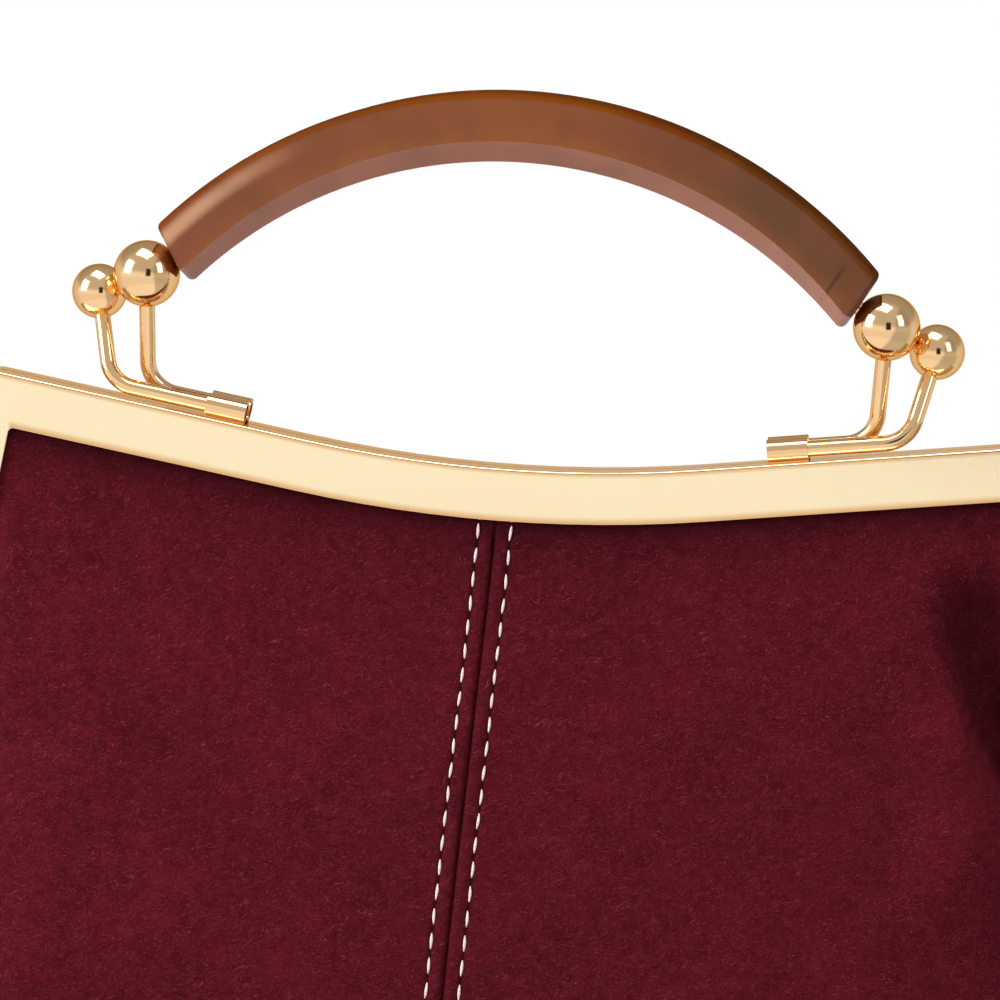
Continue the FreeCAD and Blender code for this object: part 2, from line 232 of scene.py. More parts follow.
def makeResin():
    spec = castResin
    resin, tree, surface, place = newMaterial("castBrownResin", {
        "IOR": 1.46, "Roughness": spec["roughness"], "Subsurface Weight": 0.2, "Subsurface Scale": mm,
        "Subsurface Radius": spec["scatter"]})
    where = place["Object"]
    inMm = addNode(tree, "ShaderNodeVectorMath", {0: where, "Scale": 1 / mm}, operation="SCALE")
    eitherSide = addNode(tree, "ShaderNodeVectorMath", {0: inMm}, operation="ABSOLUTE")
    arm = addNode(tree, "ShaderNodeMapping", {
        "Vector": inMm, "Location": [-c for c in spec["archCentre"]], "Scale": (1.0, 0.0, 1.0)})
    spoke = addNode(tree, "ShaderNodeVectorMath", {0: arm}, operation="NORMALIZE")
    made = {"x": addNode(tree, "ShaderNodeSeparateXYZ", {"Vector": inMm}),
            "radius": addNode(tree, "ShaderNodeVectorMath", {0: arm}, operation="LENGTH").outputs["Value"]}
    for name, a, b in (("facing", place["Normal"], spoke), ("alongEnd", inMm, spec["endNormal"]),
                       ("alongEnds", eitherSide, spec["endNormal"])):
        made[name] = addNode(tree, "ShaderNodeVectorMath", {
            0: a, 1: b}, operation="DOT_PRODUCT").outputs["Value"]
    outer, tones = spec["outerRadius"], spec["tones"]
    inner = outer - spec["faceHeight"]
    first, last = tones[0][0], tones[-1][0]
    tipAlong = float(np.dot(spec["endFoot"], spec["endNormal"]))
    for name, source, shift in (("offHighlight", "radius", spec["highlightDepth"] - outer),
                                ("offMark", "alongEnd", spec["studReach"] - tipAlong)):
        moved = addNode(tree, "ShaderNodeMath", {0: made[source], 1: shift}, operation="ADD")
        made[name] = addNode(tree, "ShaderNodeMath", {0: moved}, operation="ABSOLUTE")
    for name, source, (start, end), before, after in (
            ("along", "x", (first, last), 0.0, 1.0), ("leftEnd", "x", spec["highlightReach"], 1.0, 0.0),
            ("paintedGlow", "radius", (inner, inner + spec["paintedGlowReach"]), spec["paintedGlowShare"], 0.0),
            ("upper", "offHighlight", spec["highlightWidth"], 1.0, 0.0),
            ("rim", "radius", (outer - r for r in spec["rim"]), 0.0, spec["edgeShadeShare"]),
            ("tip", "alongEnds", (tipAlong - t for t in spec["tip"]), 0.0, spec["edgeShadeShare"]),
            ("line", "offMark", spec["markWidth"], spec["markShare"], 0.0),
            ("low", "radius", (inner + r for r in spec["markTop"]), 1.0, 0.0),
            ("worn", "radius", (outer - r for r in spec["worn"]), 0.5, 0.0),
            ("under", "facing", spec["bevelFacing"], 0.0, spec["bevelReflectionShare"])):
        ramp = smoothRamp if name in ("leftEnd", "upper") else {}
        made[name] = addNode(tree, "ShaderNodeMapRange", {
            0: made[source], 1: start, 2: end, 3: before, 4: after}, **ramp)
    for name, operation, a, b in (("bloom", "MULTIPLY", "leftEnd", "upper"),
                                  ("mark", "MULTIPLY", "line", "low"), ("outline", "MAXIMUM", "rim", "tip")):
        made[name] = addNode(tree, "ShaderNodeMath", {0: made[a], 1: made[b]}, operation=operation)
    veins = addNode(tree, "ShaderNodeTexNoise", {
        "Vector": where, "Scale": perMetre(spec["vein"]), "Detail": 4.0, "Distortion": 0.8})
    veil = addNode(tree, "ShaderNodeMapRange", {0: veins, **dict(enumerate(spec["veinTone"], 1))})
    # painted light and shade along the handle: lighter at the left end, darker to the right
    body = addNode(tree, "ShaderNodeValToRGB", {"Fac": made["along"]})
    stops = body.color_ramp.elements
    for i, (x, tone) in enumerate(tones):
        at = (x - first) / (last - first)
        stop = stops[0] if i == 0 else stops[-1] if i == len(tones) - 1 else stops.new(at)
        stop.position, stop.color = at, linear(tone)
    colour = body
    # painted light mixed in: highlight at the left end, lower-edge glow, bevel reflection; shade at top and
    # ends
    # the mark is the end of the right stud, which shows through the face as a thin dark line
    for share, tone in (("bloom", "bloom"), ("paintedGlow", "paintedGlow"), ("mark", "studMark"), ("under", "bevelReflection"),
                        ("outline", "edge")):
        colour = addNode(tree, "ShaderNodeMix", {
            0: made[share], 6: colour, 7: linear(spec[tone])}, **mixColours).outputs[2]
    veined = addNode(tree, "ShaderNodeVectorMath", {0: colour, "Scale": veil}, operation="SCALE")
    skin = addNode(tree, "ShaderNodeTexNoise", {
        "Vector": where, "Scale": perMetre(spec["skin"]), "Detail": 2.0})
    bump = addNode(tree, "ShaderNodeBump", {
        "Height": skin, "Strength": 0.5, "Distance": spec["skinHeight"] * mm})
    fillInputs(tree, surface, {"Base Color": veined, "Specular IOR Level": made["worn"], "Normal": bump})
    return resin


# Goat suede, dyed burgundy and brushed: matt with a soft bloom at glancing angles, mottled where the nap
# lies in different ways, with short paler fibres that lean mostly one way.
goatSuede = {
    "nap": "#54121B",
    "bruised": "#4A0E17",
    "raised": "#661A25",
    "fibre": "#8E404C",
    "hollow": "#30080E",
    # painted shade: darkest in the seam, along the stitch rows, under the rail and in the pocket
    "paintedShade": "#20050A",
    # painted light on the swell below the pocket
    "paintedSwellLight": "#7A1F2C",
    "bloom": "#D8707E",
    "patch": 22.0,
    "mottle": 2.4,
    "grain": 0.6,
    "shares": {"patches": (0.35, 0.68), "raised": (0.36, 0.68, 0.0, 0.65), "fibre": (0.57, 0.74, 0.0, 0.62),
               "hollow": (0.46, 0.28, 0.0, 0.62)},
    "fibreSize": (0.42, 1.9),
    "fibreLean": 26.0,
    "sway": (5.0, 4.5),     # how far apart the fibres change their lean, and how far they are pushed
    "relief": 0.14,
}


def makeSuede():
    spec = goatSuede
    suede, tree, surface, place = newMaterial("goatSuede", {
        "Roughness": 0.95, "Specular IOR Level": 0.03, "Sheen Weight": 0.02, "Sheen Roughness": 0.4,
        "Sheen Tint": linear(spec["bloom"])})
    where = place["Object"]
    made = {}
    for name, detail, roughness, distortion in (("patch", 3.0, 0.5, 0.6), ("mottle", 4.0, 0.6, 0.5),
                                                ("grain", 3.0, 0.65, 0.0)):
        made[name] = addNode(tree, "ShaderNodeTexNoise", {
            "Vector": where, "Scale": perMetre(spec[name]), "Detail": detail, "Roughness": roughness,
            "Distortion": distortion})
    thin, long = (size * mm for size in spec["fibreSize"])
    sway = addNode(tree, "ShaderNodeTexNoise", {
        "Vector": where, "Scale": perMetre(spec["sway"][0]), "Detail": 1.0})
    swayed = addNode(tree, "ShaderNodeVectorMath", {
        0: sway.outputs["Color"], 1: [spec["sway"][1] * mm] * 3, 2: where}, operation="MULTIPLY_ADD")
    lean = addNode(tree, "ShaderNodeMapping", {
        "Vector": swayed, "Rotation": (0, -math.radians(spec["fibreLean"]), 0),
        "Scale": (long, thin, thin)}, vector_type="TEXTURE")
    made["hairs"] = addNode(tree, "ShaderNodeTexNoise", {
        "Vector": lean, "Scale": 1.0, "Detail": 2.0, "Distortion": 2.4})
    height = addNode(tree, "ShaderNodeMath", {0: made["grain"], 1: made["hairs"]}, operation="ADD")
    bump = addNode(tree, "ShaderNodeBump", {
        "Height": height, "Strength": 0.9, "Distance": spec["relief"] * mm})
    for name, source in (("patches", "patch"), ("raised", "mottle"), ("fibre", "hairs"),
                         ("hollow", "hairs")):
        made[name] = addNode(tree, "ShaderNodeMapRange", {
            0: made[source], **dict(enumerate(spec["shares"][name], 1))})
    # attributes that carry painted shade (seam, stitch rows, under the rail, pocket) and painted light
    # (swell)
    for name in ("paintedSwellLight", "paintedShade"):
        made[name] = addNode(tree, "ShaderNodeAttribute", attribute_name=name).outputs["Fac"]
    colour = addNode(tree, "ShaderNodeMix", {
        0: made["patches"], 6: linear(spec["bruised"]), 7: linear(spec["nap"])}, **mixColours).outputs[2]
    for tone in ("raised", "fibre", "hollow", "paintedSwellLight", "paintedShade"):
        colour = addNode(tree, "ShaderNodeMix", {
            0: made[tone], 6: colour, 7: linear(spec[tone])}, **mixColours).outputs[2]
    fillInputs(tree, surface, {"Base Color": colour, "Normal": bump})
    return suede


# Satin twill lining: closely woven threads with a low sheen. The real spacing, near 0.2 mm, is drawn three
# times as coarse so that it shows.
satinLining = {"low": "#6B2A2C", "high": "#7E3A3A", "spacing": 0.6, "waver": 0.3, "bump": 0.6,
               "relief": 0.05}
# Bonded polyester thread, white: soft sheen, with the lay of its plies as slanted shade lines
whiteThread = {"low": "#F4D8D4", "high": "#FFF0EC", "spacing": 0.55, "waver": 1.0, "bump": 0.7,
               "relief": 0.04}


def makeSlanted(name, spec, coordinates, values):  # threads that lie side by side on the slant
    cloth, tree, surface, place = newMaterial(name, values)
    lines = addNode(tree, "ShaderNodeTexWave", {
        "Vector": place[coordinates], "Scale": perMetre(spec["spacing"]) * math.pi / 10,
        "Distortion": spec["waver"], "Detail": 1.0}, bands_direction="DIAGONAL")
    tone = addNode(tree, "ShaderNodeMix", {
        0: lines.outputs["Fac"], 6: linear(spec["low"]), 7: linear(spec["high"])}, **mixColours)
    bump = addNode(tree, "ShaderNodeBump", {
        "Height": lines.outputs["Fac"], "Strength": spec["bump"], "Distance": spec["relief"] * mm})
    fillInputs(tree, surface, {"Base Color": tone.outputs[2], "Normal": bump})
    return cloth


# Grey board for the base and twisted paper cord for the channels: both dull paper fibre, flecked.
paperGoods = {"board": "#9A8A74", "cord": "#C9B48C", "fleck": "#6F6250", "fleckSize": 1.1,
              "fleckTone": (0.5, 0.75, 0.0, 0.6), "relief": 0.05}


def makePaper(name, colour):
    spec = paperGoods
    paper, tree, surface, place = newMaterial(name, {"Roughness": 0.9, "Specular IOR Level": 0.2})
    flecks = addNode(tree, "ShaderNodeTexNoise", {
        "Vector": place["Object"], "Scale": perMetre(spec["fleckSize"]), "Detail": 5.0})
    few = addNode(tree, "ShaderNodeMapRange", {"Value": flecks, **dict(enumerate(spec["fleckTone"], 1))})
    tone = addNode(tree, "ShaderNodeMix", {
        0: few, 6: linear(colour), 7: linear(spec["fleck"])}, **mixColours)
    bump = addNode(tree, "ShaderNodeBump", {
        "Height": flecks, "Strength": 0.5, "Distance": spec["relief"] * mm})
    fillInputs(tree, surface, {"Base Color": tone.outputs[2], "Normal": bump})
    return paper


gold = makeGold("polishedGoldRod", *goldPlate["rods"])
goldSheet = makeGold("polishedGoldSheet", *goldPlate["sheet"], withEdgeReflection=True)
resin = makeResin()
suede = makeSuede()
lining = makeSlanted("satinTwillLining", satinLining, "UV", {
    "Roughness": 0.5, "Sheen Weight": 0.2, "Sheen Roughness": 0.4})
thread = makeSlanted("whitePolyesterThread", whiteThread, "Object", {
    "Roughness": 0.55, "Sheen Weight": 0.15, "Subsurface Weight": 0.4, "Subsurface Scale": mm,
    "Subsurface Radius": (0.5, 0.3, 0.25)})
finishes = {
    "gold_plate": gold,
    "resin": resin,
    "suede": suede,
    "lining_cloth": lining,
    "board": makePaper("greyBoard", paperGoods["board"]),
    "cord": makePaper("twistedPaperCord", paperGoods["cord"]),
}
for name, node in nodes.items():
    for materialSlot in node.material_slots:
        finish = finishes[materialSlot.material.name]
        materialSlot.material = goldSheet if name.endswith("_frame") else finish
print("materials:", len(bpy.data.materials))


# Front arms, between sleeve and ball: merged, smooth-shaded copies of their parts, sharp past an angle
armBend = {"from": 186.8, "to": 202.5, "sharpAngle": 40.0}


def bendingArm(side):
    node = nodes["front_arm_" + side]
    mesh = node.data.copy()
    mesh.transform(node.matrix_world)
    shape = bmesh.new()
    shape.from_mesh(mesh)
    bmesh.ops.remove_doubles(shape, verts=shape.verts, dist=0.001 * mm)
    shape.to_mesh(mesh)
    shape.free()
    fromCad = mesh.attributes.get("custom_normal")
    if fromCad:
        mesh.attributes.remove(fromCad)
    mesh.shade_smooth()
    mesh.set_sharp_from_angle(angle=math.radians(armBend["sharpAngle"]))
    arm = bpy.data.objects.new("bentArm" + side.title(), mesh)
    scene.collection.objects.link(arm)
    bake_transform(arm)
    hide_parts("front_arm_" + side)


for side in ("left", "right"):
    bendingArm(side)


# The suede body. Each half is two panels joined by a seam down the middle. It hangs from the rail, folds at
# the hinge line and swells down to the base.
bag = {
    "height": (0.0, 24.0, 60.0, 100.0, 127.0),
    "halfWidth": (125.0, 130.0, 127.0, 118.8, 113.2),
    "halfDepth": (40.0, 44.0, 38.5, 27.0, 17.0),
    "squareness": 3.5,      # of the section, where 2 is an ellipse
    "legTop": (103.4, 177.3),  # inner corner of the frame
    "legSplay": 8.2,
    "sideTuck": (2.4, 5.0),    # edge beyond the leg's inner edge, at the fold and above it
    "sideTuckIn": 4.0,         # how soon above the fold the second is reached
    "mouthFlatness": 8.0,      # of the section between the legs
    "sideOpensAt": 117.0,
    "tuckDepth": 5.25,      # from the middle to the suede inside the channel
    "tuckRise": 7.0,
    "hangCurve": 1.35,      # how slowly the suede leaves the rail
    "blendFrom": 96.0,
    "suedeThickness": 1.2,
    "hemRounding": 1.2,
    "sectionPoints": 721,
    "columns": 150,
    "hemRows": (-2.0, 0.0, 0.12, 0.45, 1.2),
    "firstRow": 2.4,
    "lowRows": 84,
    "highRows": 34,
    "spread": 2.4,          # how much closer the columns are at the seam
}
seam = {
    "top": -0.8,
    "slant": 0.0188,
    "groove": (0.8, 0.42),   # depth and half width
    "ridge": (0.22, 1.6, 1.0),  # height, distance and half width
    "row": 3.4,
    "rowDimple": (0.3, 0.5),
}


def railBottom(x):
    tilt = math.radians(rail["tilt"])
    radius = rail["dipHalfLength"] / math.sin(tilt)
    centre = rail["middle"] + radius
    ax = np.abs(x)
    dip = centre - np.sqrt(np.maximum(radius ** 2 - np.minimum(ax, rail["dipHalfLength"]) ** 2, 0.0))
    return dip + np.maximum(ax - rail["dipHalfLength"], 0.0) * math.tan(tilt)


def alongHeight(z, values):  # a smooth curve through the body's stations
    height, value = np.array(bag["height"]), np.array(values)
    slope = np.gradient(value, height)
    i = min(max(int(np.searchsorted(height, z)) - 1, 0), len(height) - 2)
    step = height[i + 1] - height[i]
    t = (z - height[i]) / step
    start = (1 + 2 * t) * (1 - t) ** 2 * value[i] + t * (1 - t) ** 2 * step * slope[i]
    return start + t * t * (3 - 2 * t) * value[i + 1] + t * t * (t - 1) * step * slope[i + 1]


def smooth(t):
    t = np.clip(t, 0.0, 1.0)
    return t * t * (3 - 2 * t)


def legInside(z):
    x, top = bag["legTop"]
    return x + (top - z) * math.tan(math.radians(bag["legSplay"]))


def sectionLine(level):  # points across the front, from the right side to the left, at one level of the cut
    fold = bag["height"][-1]
    theta = np.linspace(0.0, math.pi, bag["sectionPoints"])
    power = 2 / bag["squareness"]
    across = np.sign(np.cos(theta)) * np.abs(np.cos(theta)) ** power
    tuck = bag["tuckDepth"]
    depthAtFold = bag["halfDepth"][-1]
    if level <= fold:
        z = max(level, 0.0)
        halfWidth, halfDepth = alongHeight(z, bag["halfWidth"]), alongHeight(z, bag["halfDepth"])
        hem = bag["hemRounding"]
        inset = hem - math.sqrt(max(hem ** 2 - max(hem - z, 0.0) ** 2, 0.0)) if level >= 0 else hem - level
        x = across * (halfWidth - inset)
        y = np.abs(np.sin(theta)) ** power * (halfDepth - inset)
        mouth = smooth((z - bag["blendFrom"]) / (fold - bag["blendFrom"]))
        side = tuck * smooth((z - bag["sideOpensAt"]) / (fold - bag["sideOpensAt"]))
        flat = np.maximum(1 - np.abs(x / legInside(z)) ** bag["mouthFlatness"], 0.0)
        yMouth = side + (halfDepth - side) * flat
        return np.stack([x, -(y * (1 - mouth) + yMouth * mouth), np.full_like(x, z)], axis=1)
    share = (level - fold) / (rail["middle"] + bag["tuckRise"] - fold)
    low, high = bag["sideTuck"]
    sideZ = fold + (railBottom(bag["legTop"][0]) + bag["tuckRise"] - fold) * share
    x = across * (legInside(sideZ) + low + (high - low) * smooth(share * bag["sideTuckIn"]))
    bottom = railBottom(x)
    z = fold + (bottom + bag["tuckRise"] - fold) * share
    hang = np.clip((bottom - z) / (bottom - fold), 0.0, 1.0) ** bag["hangCurve"]
    flat = np.maximum(1 - np.abs(x / legInside(z)) ** bag["mouthFlatness"], 0.0)
    return np.stack([x, -(tuck + (depthAtFold - tuck) * hang * flat), z], axis=1)


def suedeGrid():
    top = rail["middle"] + bag["tuckRise"]
    fold = bag["height"][-1]
    levels = np.concatenate([
        bag["hemRows"],
        np.linspace(bag["firstRow"], fold, bag["lowRows"]),
        np.linspace(fold, top, bag["highRows"] + 1)[1:],
    ])
    steps = np.linspace(0.0, 1.0, bag["columns"] + 1)
    spacing = (np.exp(bag["spread"] * steps) - 1) / (math.exp(bag["spread"]) - 1)
    grid, offset = [], []
    for level in levels:
        line = sectionLine(level)
        length = np.concatenate([[0.0], np.cumsum(np.linalg.norm(np.diff(line, axis=0), axis=1))])
        seamX = seam["top"] - seam["slant"] * (rail["middle"] - min(level, rail["middle"]))
        middle = np.interp(-seamX, -line[:, 0], length)
        away = np.concatenate([-(middle * spacing[::-1]), (length[-1] - middle) * spacing[1:]])
        grid.append(np.stack([np.interp(middle + away, length, line[:, k]) for k in range(3)], axis=1))
        offset.append(-away)
    return np.array(grid), np.array(offset)


def gridNormals(grid):
    down = np.gradient(grid, axis=0)
    along = np.gradient(grid, axis=1)
    normal = np.cross(along, down)
    return normal / np.maximum(np.linalg.norm(normal, axis=2, keepdims=True), 1e-9)


# Soft unevenness of the hung suede and the creases that start at the hinge corners, as ridges between two
# points (x, z), each with its height and half width.
wear = {
    "waves": ((0.35, 61.0, 47.0, 0.4), (0.25, 37.0, 83.0, 2.1), (0.2, 23.0, 31.0, 4.0)),
    "creases": (
        ((-101.5, 160.0), (-99.0, 124.0), 1.1, 2.4),
        ((-104.0, 118.0), (-84.0, 92.0), 0.7, 5.0),
        ((105.0, 112.0), (86.0, 90.0), 0.7, 5.0),
    ),
    # pocket beside the right leg: its edge from top to bottom as (x, z, width of the turn), and its depth
    "pocketEdge": ((90.0, 164.0, 7.0), (91.0, 150.0, 6.0), (95.0, 141.0, 3.6), (97.3, 137.0, 1.6),
                   (108.7, 114.0, 1.2)),
    "pocketDepth": 5.0,
    "pocketReach": (166.0, 154.0, 118.0, 110.0),
    # the suede that swells forward under the pocket's edge
    "swellDepth": 4.5,
    "swellFrom": (84.0, 102.0),
    "swellReach": (84.0, 104.0),
    "swellTop": (142.0, 12.0),  # height, and the fall to it
    "pucker": (0.1, 5.0, 2.4),  # height, spacing and half width of the gathers along the seam
    "puckerDrift": (1.4, 7.3),  # their spacing wanders by this, over this length
    "railFade": 6.0,            # from the rail down to full relief
    "legFade": 4.0,             # the same from the legs
    "leastDepth": 2.6,          # of the pocket's floor, from the middle of the bag
}


def pocketed(x, z):  # share to which the suede is pushed in beside the right leg, and swells below it
    edge = np.array(wear["pocketEdge"])[::-1]
    edgeX, turn = (np.interp(z, edge[:, 1], edge[:, k]) for k in (0, 2))
    top, full, low, end = wear["pocketReach"]
    inside = smooth((x - edgeX) / turn)
    pushed = inside * smooth((top - z) / (top - full)) * smooth((z - end) / (low - end))
    start, rise = wear["swellFrom"], wear["swellReach"]
    swell = smooth((x - start[0]) / (start[1] - start[0])) * smooth((z - rise[0]) / (rise[1] - rise[0]))
    return pushed, swell * (1 - inside) * smooth((wear["swellTop"][0] - z) / wear["swellTop"][1])


def puckered(offset, z):
    height, spacing, width = wear["pucker"]
    drift, driftLength = wear["puckerDrift"]
    turn = z / spacing * 2 * math.pi + drift * np.sin(z / driftLength)
    return height * np.sin(turn) * np.exp(-(offset / width) ** 2)


def creased(x, z):
    total = np.zeros_like(x)
    for height, longX, longZ, phase in wear["waves"]:
        turnX, turnZ = x / longX * 2 * math.pi + phase, z / longZ * 2 * math.pi + 2 * phase
        total += height * np.sin(turnX) * np.cos(turnZ)
    for (x0, z0), (x1, z1), height, width in wear["creases"]:
        dx, dz = x1 - x0, z1 - z0
        t = np.clip(((x - x0) * dx + (z - z0) * dz) / (dx * dx + dz * dz), 0.0, 1.0)
        away = np.hypot(x - x0 - t * dx, z - z0 - t * dz)
        total += height * np.exp(-(away / width) ** 2)
    return total


def seamRelief(offset):
    depth, width = seam["groove"]
    rise, distance, ridgeWidth = seam["ridge"]
    dimple, dimpleWidth = seam["rowDimple"]
    away = np.abs(offset)
    relief = rise * np.exp(-((away - distance) / ridgeWidth) ** 2) - depth * np.exp(-(away / width) ** 2)
    return relief - dimple * np.exp(-((away - seam["row"]) / dimpleWidth) ** 2)


def meshPiece(name, vertices, faces, uv, material):  # a smooth piece with its flat cut as the UV map
    mesh = bpy.data.meshes.new(name)
    mesh.from_pydata((vertices * mm).tolist(), [], faces)
    layer = mesh.uv_layers.new(name="cut")
    loops = np.zeros(len(mesh.loops), dtype=int)
    mesh.loops.foreach_get("vertex_index", loops)
    layer.data.foreach_set("uv", (uv[loops] * mm).ravel())
    mesh.polygons.foreach_set("use_smooth", [True] * len(mesh.polygons))
    mesh.materials.append(material)
    mesh.update()
    piece = bpy.data.objects.new(name, mesh)
    scene.collection.objects.link(piece)
    return piece


def gridMesh(name, grid, flip, material):
    rows, columns = grid.shape[:2]
    index = np.arange(rows * columns).reshape(rows, columns)
    corners = [index[:-1, :-1], index[:-1, 1:], index[1:, 1:], index[1:, :-1]]
    faces = np.stack(corners[::-1] if flip else corners, axis=-1).reshape(-1, 4)
    width, height = np.zeros((rows, columns)), np.zeros((rows, columns))
    width[:, 1:] = np.cumsum(np.linalg.norm(np.diff(grid, axis=1), axis=2), axis=1)
    height[1:] = np.cumsum(np.linalg.norm(np.diff(grid, axis=0), axis=2), axis=0)
    uv = np.stack([width, height], axis=-1).reshape(-1, 2)
    return meshPiece(name, grid.reshape(-1, 3), faces.tolist(), uv, material)


def flatCut(grid):  # the size of the cut before it was sewn, from the lines along it and across it
    rowLength = np.linalg.norm(np.diff(grid, axis=1), axis=2).sum(axis=1)
    columnLength = np.linalg.norm(np.diff(grid, axis=0), axis=2).sum(axis=0)
    a, b = np.diff(grid, axis=0)[:, :-1], np.diff(grid, axis=1)[:-1]
    area = np.linalg.norm(np.cross(a, b), axis=2).sum()
    return (rowLength.max() * mm, columnLength.max() * mm), area * mm * mm


base, offset = suedeGrid()
baseX, baseZ = base[:, :, 0], base[:, :, 2]
under = railBottom(baseX) - baseZ
inChannel = smooth(under / wear["railFade"])
relief = seamRelief(offset) + creased(baseX, baseZ) + puckered(offset, baseZ)
normals = gridNormals(base)
outward = np.sign(normals[bag["lowRows"] // 2, bag["columns"], 1]) * -1.0
plain = base + normals * (outward * relief * inChannel)[:, :, None]
pushed, swell = pocketed(baseX, baseZ)
between = smooth((legInside(baseZ) - np.abs(baseX)) / wear["legFade"])
dent = (wear["pocketDepth"] * pushed - wear["swellDepth"] * swell) * between * inChannel
dent = np.minimum(dent, np.maximum(-plain[:, :, 1] - wear["leastDepth"], 0.0))
shell = plain.copy()
shell[:, :, 1] += dent
# painted shade on the suede: share and reach at the seam, at its rows and under the rail, share in the
# pocket, and the share of painted light on the swell below it
paintedShading = {"seam": (0.75, 0.3), "row": (0.85, 0.32), "rail": (0.75, 4.5), "pocket": 0.48, "most": 0.92,
            "swell": 0.08}
paintedShadeShare = (paintedShading["seam"][0] * np.exp(-(offset / paintedShading["seam"][1]) ** 2)
             + paintedShading["row"][0] * np.exp(-((np.abs(offset) - seam["row"]) / paintedShading["row"][1]) ** 2)
             + paintedShading["rail"][0] * np.exp(-np.maximum(under, 0.0) / paintedShading["rail"][1]))
mirrorY = np.array([1.0, -1.0, 1.0])
halves = {"front": shell, "back": plain * mirrorY}


def addSolidify(piece, thickness):
    wall = piece.modifiers.new("wall", "SOLIDIFY")
    wall.thickness = thickness * mm
    wall.offset = -1.0


def followFold(piece):
    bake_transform(piece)


def markPaintedShading(piece, pocket):  # the pocket is at the front only
    shares = {"paintedShade": np.clip(paintedShadeShare + paintedShading["pocket"] * pushed * pocket, 0.0, paintedShading["most"]),
              "paintedSwellLight": paintedShading["swell"] * swell * pocket}
    for name, share in shares.items():
        piece.data.attributes.new(name, "FLOAT", "POINT").data.foreach_set("value", share.ravel())


frontSuede = gridMesh("frontSuede", halves["front"], True, suede)
markPaintedShading(frontSuede, 1.0)
addSolidify(frontSuede, bag["suedeThickness"])
followFold(frontSuede)
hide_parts("front_panel_left", "front_panel_right",
            "front_panel_top_left", "front_panel_top_right")
backSuede = gridMesh("backSuede", halves["back"], False, suede)
markPaintedShading(backSuede, 0.0)
addSolidify(backSuede, bag["suedeThickness"])
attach(backSuede, "rear_half")
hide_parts("back_panel_left", "back_panel_right")
cut, cutArea = flatCut(base)
print("suede cut: %.0f by %.0f mm" % (cut[0] / mm, cut[1] / mm))


# The lining hangs inside the suede in the same way
liningHang = {"inset": 1.75, "thickness": 0.35, "every": 2, "firstRow": 6, "clearCells": 3, "floor": 4.2,
              "floorShare": 0.975, "rings": 14}
inward = liningHang["inset"] - np.minimum(relief, 0.0) * inChannel
liningGrid = base - normals * (outward * inward)[:, :, None]
# it keeps behind the deepest dent of the suede within a few cells
cells = range(-liningHang["clearCells"], liningHang["clearCells"] + 1)
deepest = np.max([np.roll(dent, (r, c), (0, 1)) for r in cells for c in cells], axis=0)
dented = liningGrid + deepest[:, :, None] * [0.0, 1.0, 0.0]
liningGrid, dented = (g[liningHang["firstRow"]::liningHang["every"], ::liningHang["every"]]
                      for g in (liningGrid, dented))
for name, grid, flip, node in (("frontLining", dented, True, "front_lining_top"),
                               ("backLining", liningGrid * mirrorY, False, "lining_body")):
    piece = gridMesh(name, grid, flip, lining)
    addSolidify(piece, liningHang["thickness"])
    if name == "frontLining":
        followFold(piece)
    else:
        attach(piece, "rear_half")
    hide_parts(node)
    size, area = flatCut(grid)


def ovalDisc(name, edge, z, rings, material):  # rings of points from the middle out to the edge line
    shares = np.linspace(0.0, 1.0, rings + 1)[1:]
    rows = np.array([edge * [s, s, 0.0] + [0.0, 0.0, z] for s in shares])
    count = len(edge)
    vertices = np.concatenate([[[0.0, 0.0, z]], rows.reshape(-1, 3)])
    faces = [(0, 1 + i, 1 + (i + 1) % count) for i in range(count)]
    for r in range(rings - 1):
        low, high = 1 + r * count, 1 + (r + 1) * count
        for i in range(count):
            j = (i + 1) % count
            faces.append((low + i, high + i, high + j, low + j))
    return meshPiece(name, vertices, faces, vertices[:, :2], material)


edgeStep = 9        # every ninth point of a section makes the base's outline
baseCut = {"share": 0.998, "top": 1.3, "rings": 10, "thickness": 1.2}


def ovalEdge(line):  # the section's front and back joined, counter-clockwise from above
    front = line[::edgeStep]
    ring = np.concatenate([front[:-1] * mirrorY, (front * [-1, 1, 1])[:-1]])
    return ring * [1, 1, 0]


floorEdge = ovalEdge(sectionLine(liningHang["floor"])) * liningHang["floorShare"]
liningFloor = ovalDisc("liningFloor", floorEdge, liningHang["floor"], liningHang["rings"], lining)
addSolidify(liningFloor, liningHang["thickness"])
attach(liningFloor, "rear_half")
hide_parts("lining_body")

baseEdge = ovalEdge(sectionLine(0.0))
baseSuede = ovalDisc("baseSuede", baseEdge * baseCut["share"], baseCut["top"], baseCut["rings"], suede)
for polygon in baseSuede.data.polygons:
    polygon.flip()
addSolidify(baseSuede, -baseCut["thickness"])
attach(baseSuede, "rear_half")
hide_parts("base_panel")
print("body: suede, lining and base")


# Topstitching: two rows of white stitches beside each seam, set along lines that are read off the suede
stitch = {
    "pitch": 5.0,
    "length": 4.0,
    "thread": 0.62,
    "rise": 0.3,
    "sink": 0.3,
    "turn": 0.07,       # radians, at most, to either side
    "seed": 7,
    "slimEnd": 0.08,    # of the thread's width, where it goes into the suede
    "steps": (10, 8),   # along a stitch and around it
    "fromTop": 1.6,
    "fromBase": 7.0,
}


